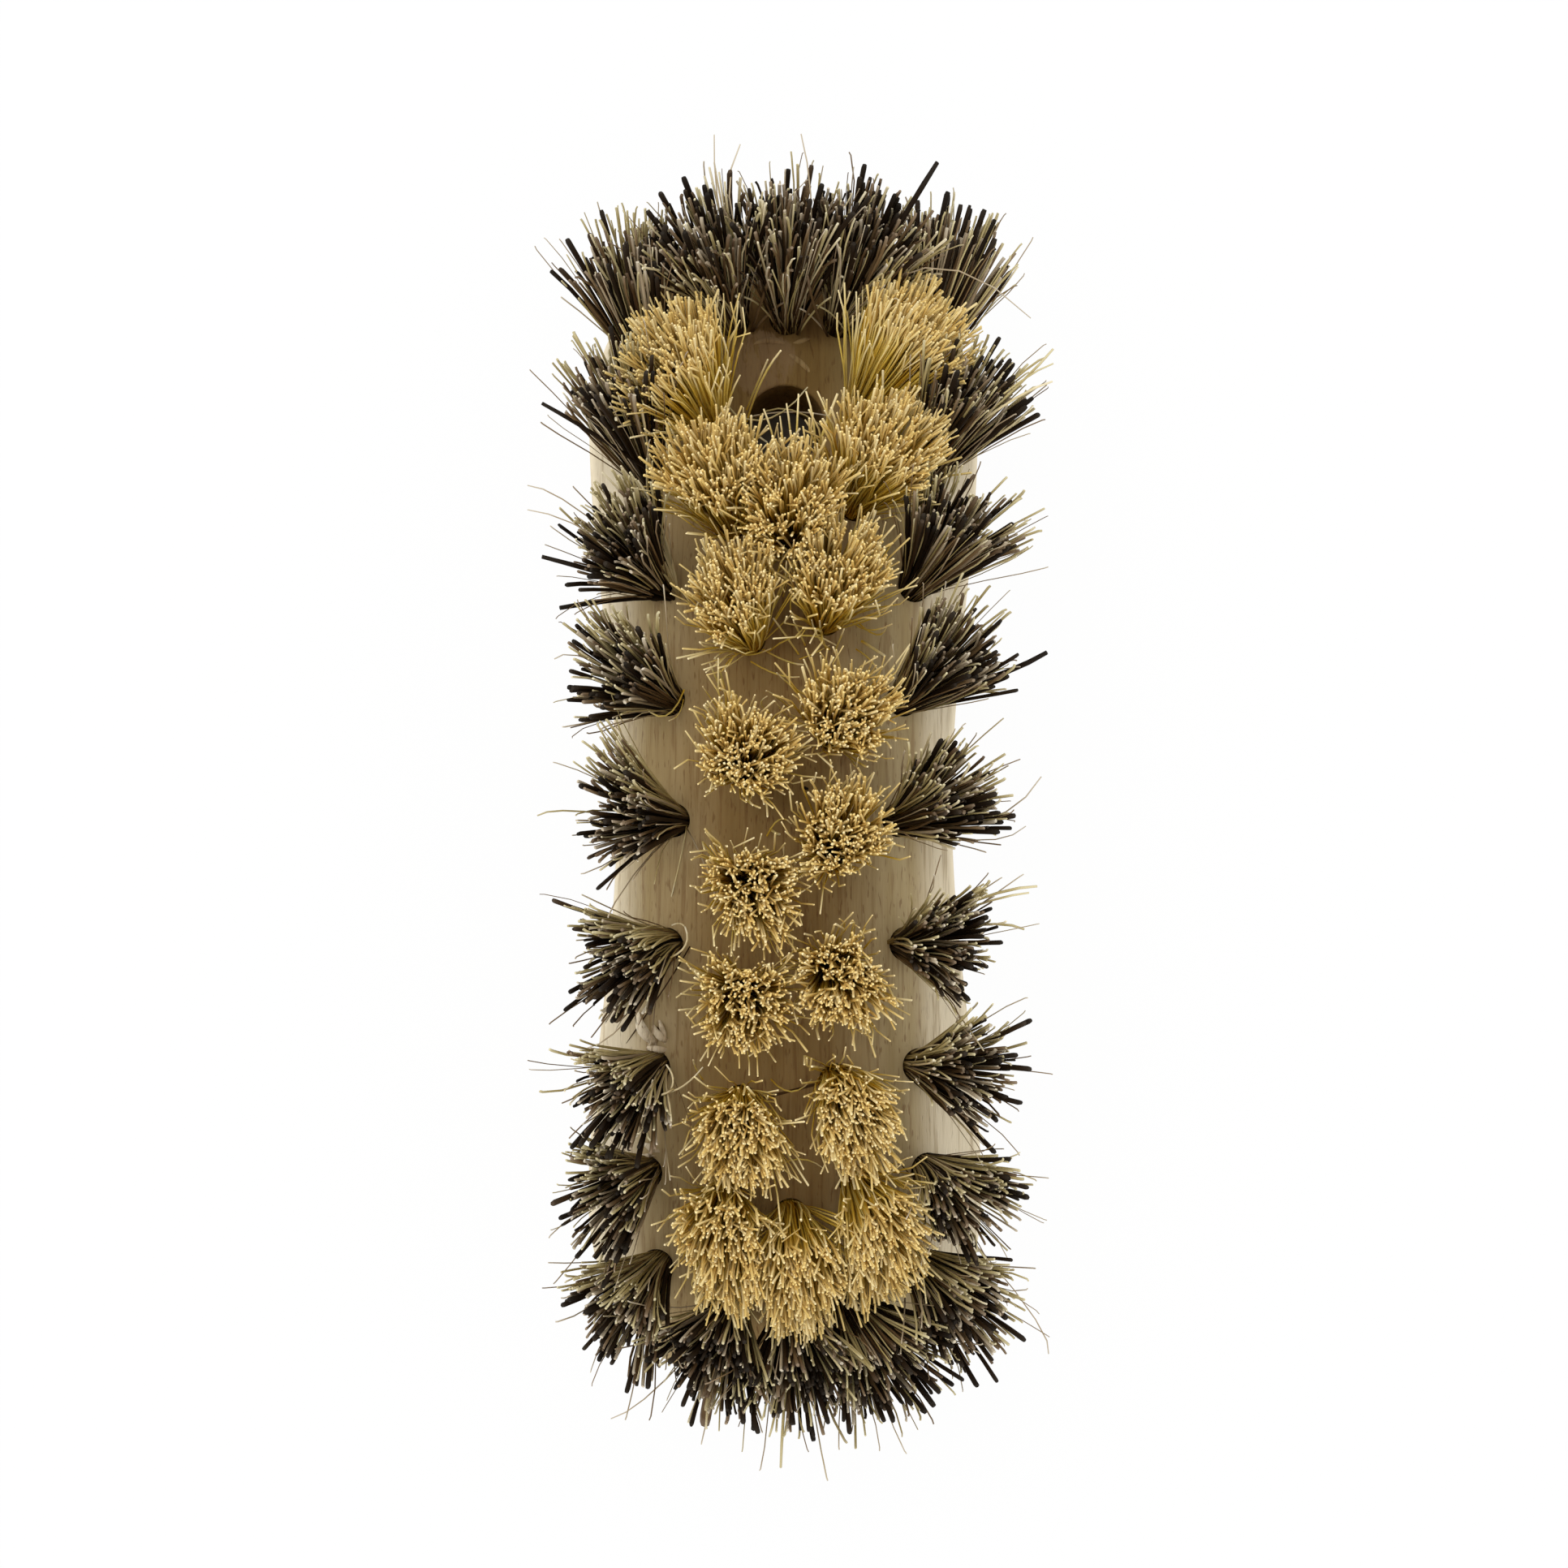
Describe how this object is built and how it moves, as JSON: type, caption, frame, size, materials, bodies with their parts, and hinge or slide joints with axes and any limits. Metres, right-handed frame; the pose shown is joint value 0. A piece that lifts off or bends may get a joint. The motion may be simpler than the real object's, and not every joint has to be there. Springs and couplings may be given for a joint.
{
  "type": "scrub brush",
  "caption": "Waisted raw beech scrub brush lying on its back, with a flared ring of dark fibre tufts round pale plant fibre tufts and a round hanging hole near one end",
  "frame": {"origin": "middle of the block's flat back face, which the brush lies on", "axes": "+Y along the block towards the end with the hanging hole, +Z out of the bristles, +X across"},
  "size_m": [0.0814, 0.2116, 0.0497],
  "materials": {
    "raw_beech": "raw sanded beech, matte, with fine lengthwise grain",
    "union_fibre": "stiff mixed plant fibre, near-black, brown and olive beige stalks",
    "tampico_fibre": "fine golden cream plant fibre with bright cut tips"
  },
  "bodies": {
    "root": {"wood_block": "raw_beech", "tuft_dark_left_1": "union_fibre", "tuft_dark_left_2": "union_fibre", "tuft_dark_left_3": "union_fibre", "tuft_dark_left_4": "union_fibre", "tuft_dark_left_5": "union_fibre", "tuft_dark_left_6": "union_fibre", "tuft_dark_left_7": "union_fibre", "tuft_dark_left_8": "union_fibre", "tuft_dark_left_9": "union_fibre", "tuft_dark_right_1": "union_fibre", "tuft_dark_right_2": "union_fibre", "tuft_dark_right_3": "union_fibre", "tuft_dark_right_4": "union_fibre", "tuft_dark_right_5": "union_fibre", "tuft_dark_right_6": "union_fibre", "tuft_dark_right_7": "union_fibre", "tuft_dark_right_8": "union_fibre", "tuft_dark_right_9": "union_fibre", "tuft_dark_top_1": "union_fibre", "tuft_dark_top_2": "union_fibre", "tuft_dark_top_3": "union_fibre", "tuft_dark_bottom_1": "union_fibre", "tuft_dark_bottom_2": "union_fibre", "tuft_dark_bottom_3": "union_fibre", "tuft_pale_left_1": "tampico_fibre", "tuft_pale_left_2": "tampico_fibre", "tuft_pale_left_3": "tampico_fibre", "tuft_pale_left_4": "tampico_fibre", "tuft_pale_left_5": "tampico_fibre", "tuft_pale_right_1": "tampico_fibre", "tuft_pale_right_2": "tampico_fibre", "tuft_pale_right_3": "tampico_fibre", "tuft_pale_right_4": "tampico_fibre", "tuft_pale_right_5": "tampico_fibre", "tuft_pale_top_1": "tampico_fibre", "tuft_pale_top_2": "tampico_fibre", "tuft_pale_top_3": "tampico_fibre", "tuft_pale_top_4": "tampico_fibre", "tuft_pale_top_5": "tampico_fibre", "tuft_pale_bottom_1": "tampico_fibre", "tuft_pale_bottom_2": "tampico_fibre", "tuft_pale_bottom_3": "tampico_fibre"}
  },
  "joints": []
}
